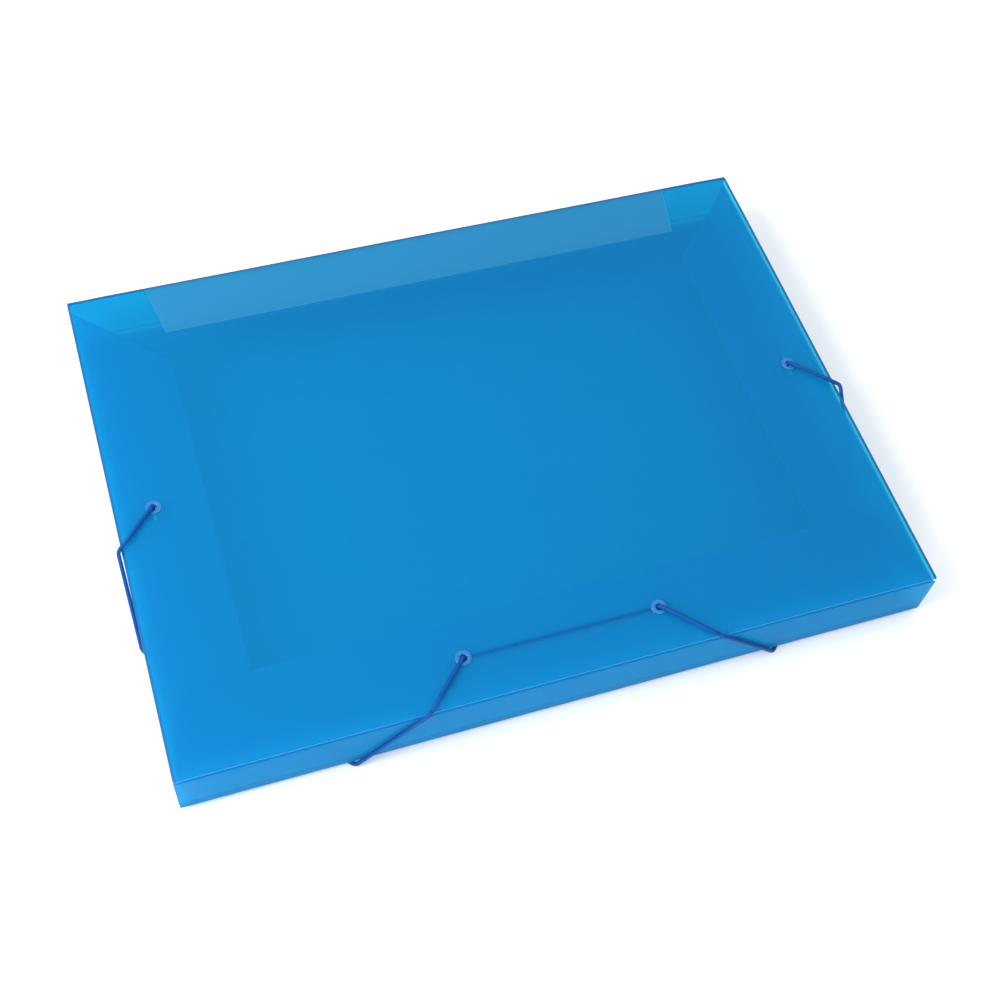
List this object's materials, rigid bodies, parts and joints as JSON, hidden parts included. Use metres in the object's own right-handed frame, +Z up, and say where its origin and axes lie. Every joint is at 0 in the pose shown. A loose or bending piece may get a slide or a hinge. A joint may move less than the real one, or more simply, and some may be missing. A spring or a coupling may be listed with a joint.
{
  "type": "elastic document box",
  "caption": "Shallow translucent plastic document box, folded from one creased sheet, with a full-size lid held shut by an elastic cord round its front corners.",
  "frame": {"origin": "on the surface that the box lies on, at the middle of its overall width and depth", "axes": "+X along the spine, to the right seen from the front edge; +Y from the front edge to the spine; +Z up through the lid"},
  "size_m": [0.3394, 0.2472, 0.0331],
  "materials": {
    "polypropylene_sheet": "translucent satin extruded sheet",
    "moulded_eyelet": "gloss moulded",
    "crimped_steel": "plated, crimped",
    "elastic_cord": "braided polyester over rubber"
  },
  "bodies": {
    "base": {"base_panel": "polypropylene_sheet"},
    "spine": {"spine_panel": "polypropylene_sheet"},
    "lid": {"lid_tab": "polypropylene_sheet", "lid_panel": "polypropylene_sheet", "eyelet_side_left": "moulded_eyelet", "eyelet_side_right": "moulded_eyelet", "eyelet_front_left": "moulded_eyelet", "eyelet_front_right": "moulded_eyelet", "cord_clip_left": "crimped_steel", "cord_clip_right": "crimped_steel", "elastic_cord": "elastic_cord"},
    "front_wall": {"front_wall": "polypropylene_sheet"},
    "front_flap": {"front_flap": "polypropylene_sheet"},
    "left_wall": {"left_wall": "polypropylene_sheet"},
    "left_flap": {"left_flap": "polypropylene_sheet"},
    "right_wall": {"right_wall": "polypropylene_sheet"},
    "right_flap": {"right_flap": "polypropylene_sheet"}
  },
  "joints": [
    {"name": "spine_crease", "type": "hinge", "parent": "base", "child": "spine", "pos_m": [0, 0.12325, 0.00255], "axis": [-1, 0, 0], "range_deg": [0, 90]},
    {"name": "lid_crease", "type": "hinge", "parent": "spine", "child": "lid", "pos_m": [0, 0.12325, 0.02965], "axis": [-1, 0, 0], "range_deg": [0, 90], "deforming": ["elastic_cord"]},
    {"name": "front_wall_crease", "type": "hinge", "parent": "base", "child": "front_wall", "pos_m": [0, -0.12105, 0.00255], "axis": [1, 0, 0], "range_deg": [0, 90]},
    {"name": "front_flap_crease", "type": "hinge", "parent": "front_wall", "child": "front_flap", "pos_m": [0, -0.12105, 0.02685], "axis": [1, 0, 0], "range_deg": [0, 90]},
    {"name": "left_wall_crease", "type": "hinge", "parent": "base", "child": "left_wall", "pos_m": [-0.16715, 0, 0.00255], "axis": [0, -1, 0], "range_deg": [0, 90]},
    {"name": "left_flap_crease", "type": "hinge", "parent": "left_wall", "child": "left_flap", "pos_m": [-0.16715, 0, 0.02575], "axis": [0, -1, 0], "range_deg": [0, 90]},
    {"name": "right_wall_crease", "type": "hinge", "parent": "base", "child": "right_wall", "pos_m": [0.16715, 0, 0.00255], "axis": [0, 1, 0], "range_deg": [0, 90]},
    {"name": "right_flap_crease", "type": "hinge", "parent": "right_wall", "child": "right_flap", "pos_m": [0.16715, 0, 0.02575], "axis": [0, 1, 0], "range_deg": [0, 90]}
  ],
  "couplings": [
    {"joint": "spine_crease", "follows": "lid_crease", "ratio": 1},
    {"joint": "front_wall_crease", "follows": "lid_crease", "ratio": 1},
    {"joint": "front_flap_crease", "follows": "lid_crease", "ratio": 1},
    {"joint": "left_wall_crease", "follows": "lid_crease", "ratio": 1},
    {"joint": "left_flap_crease", "follows": "lid_crease", "ratio": 1},
    {"joint": "right_wall_crease", "follows": "lid_crease", "ratio": 1},
    {"joint": "right_flap_crease", "follows": "lid_crease", "ratio": 1}
  ]
}
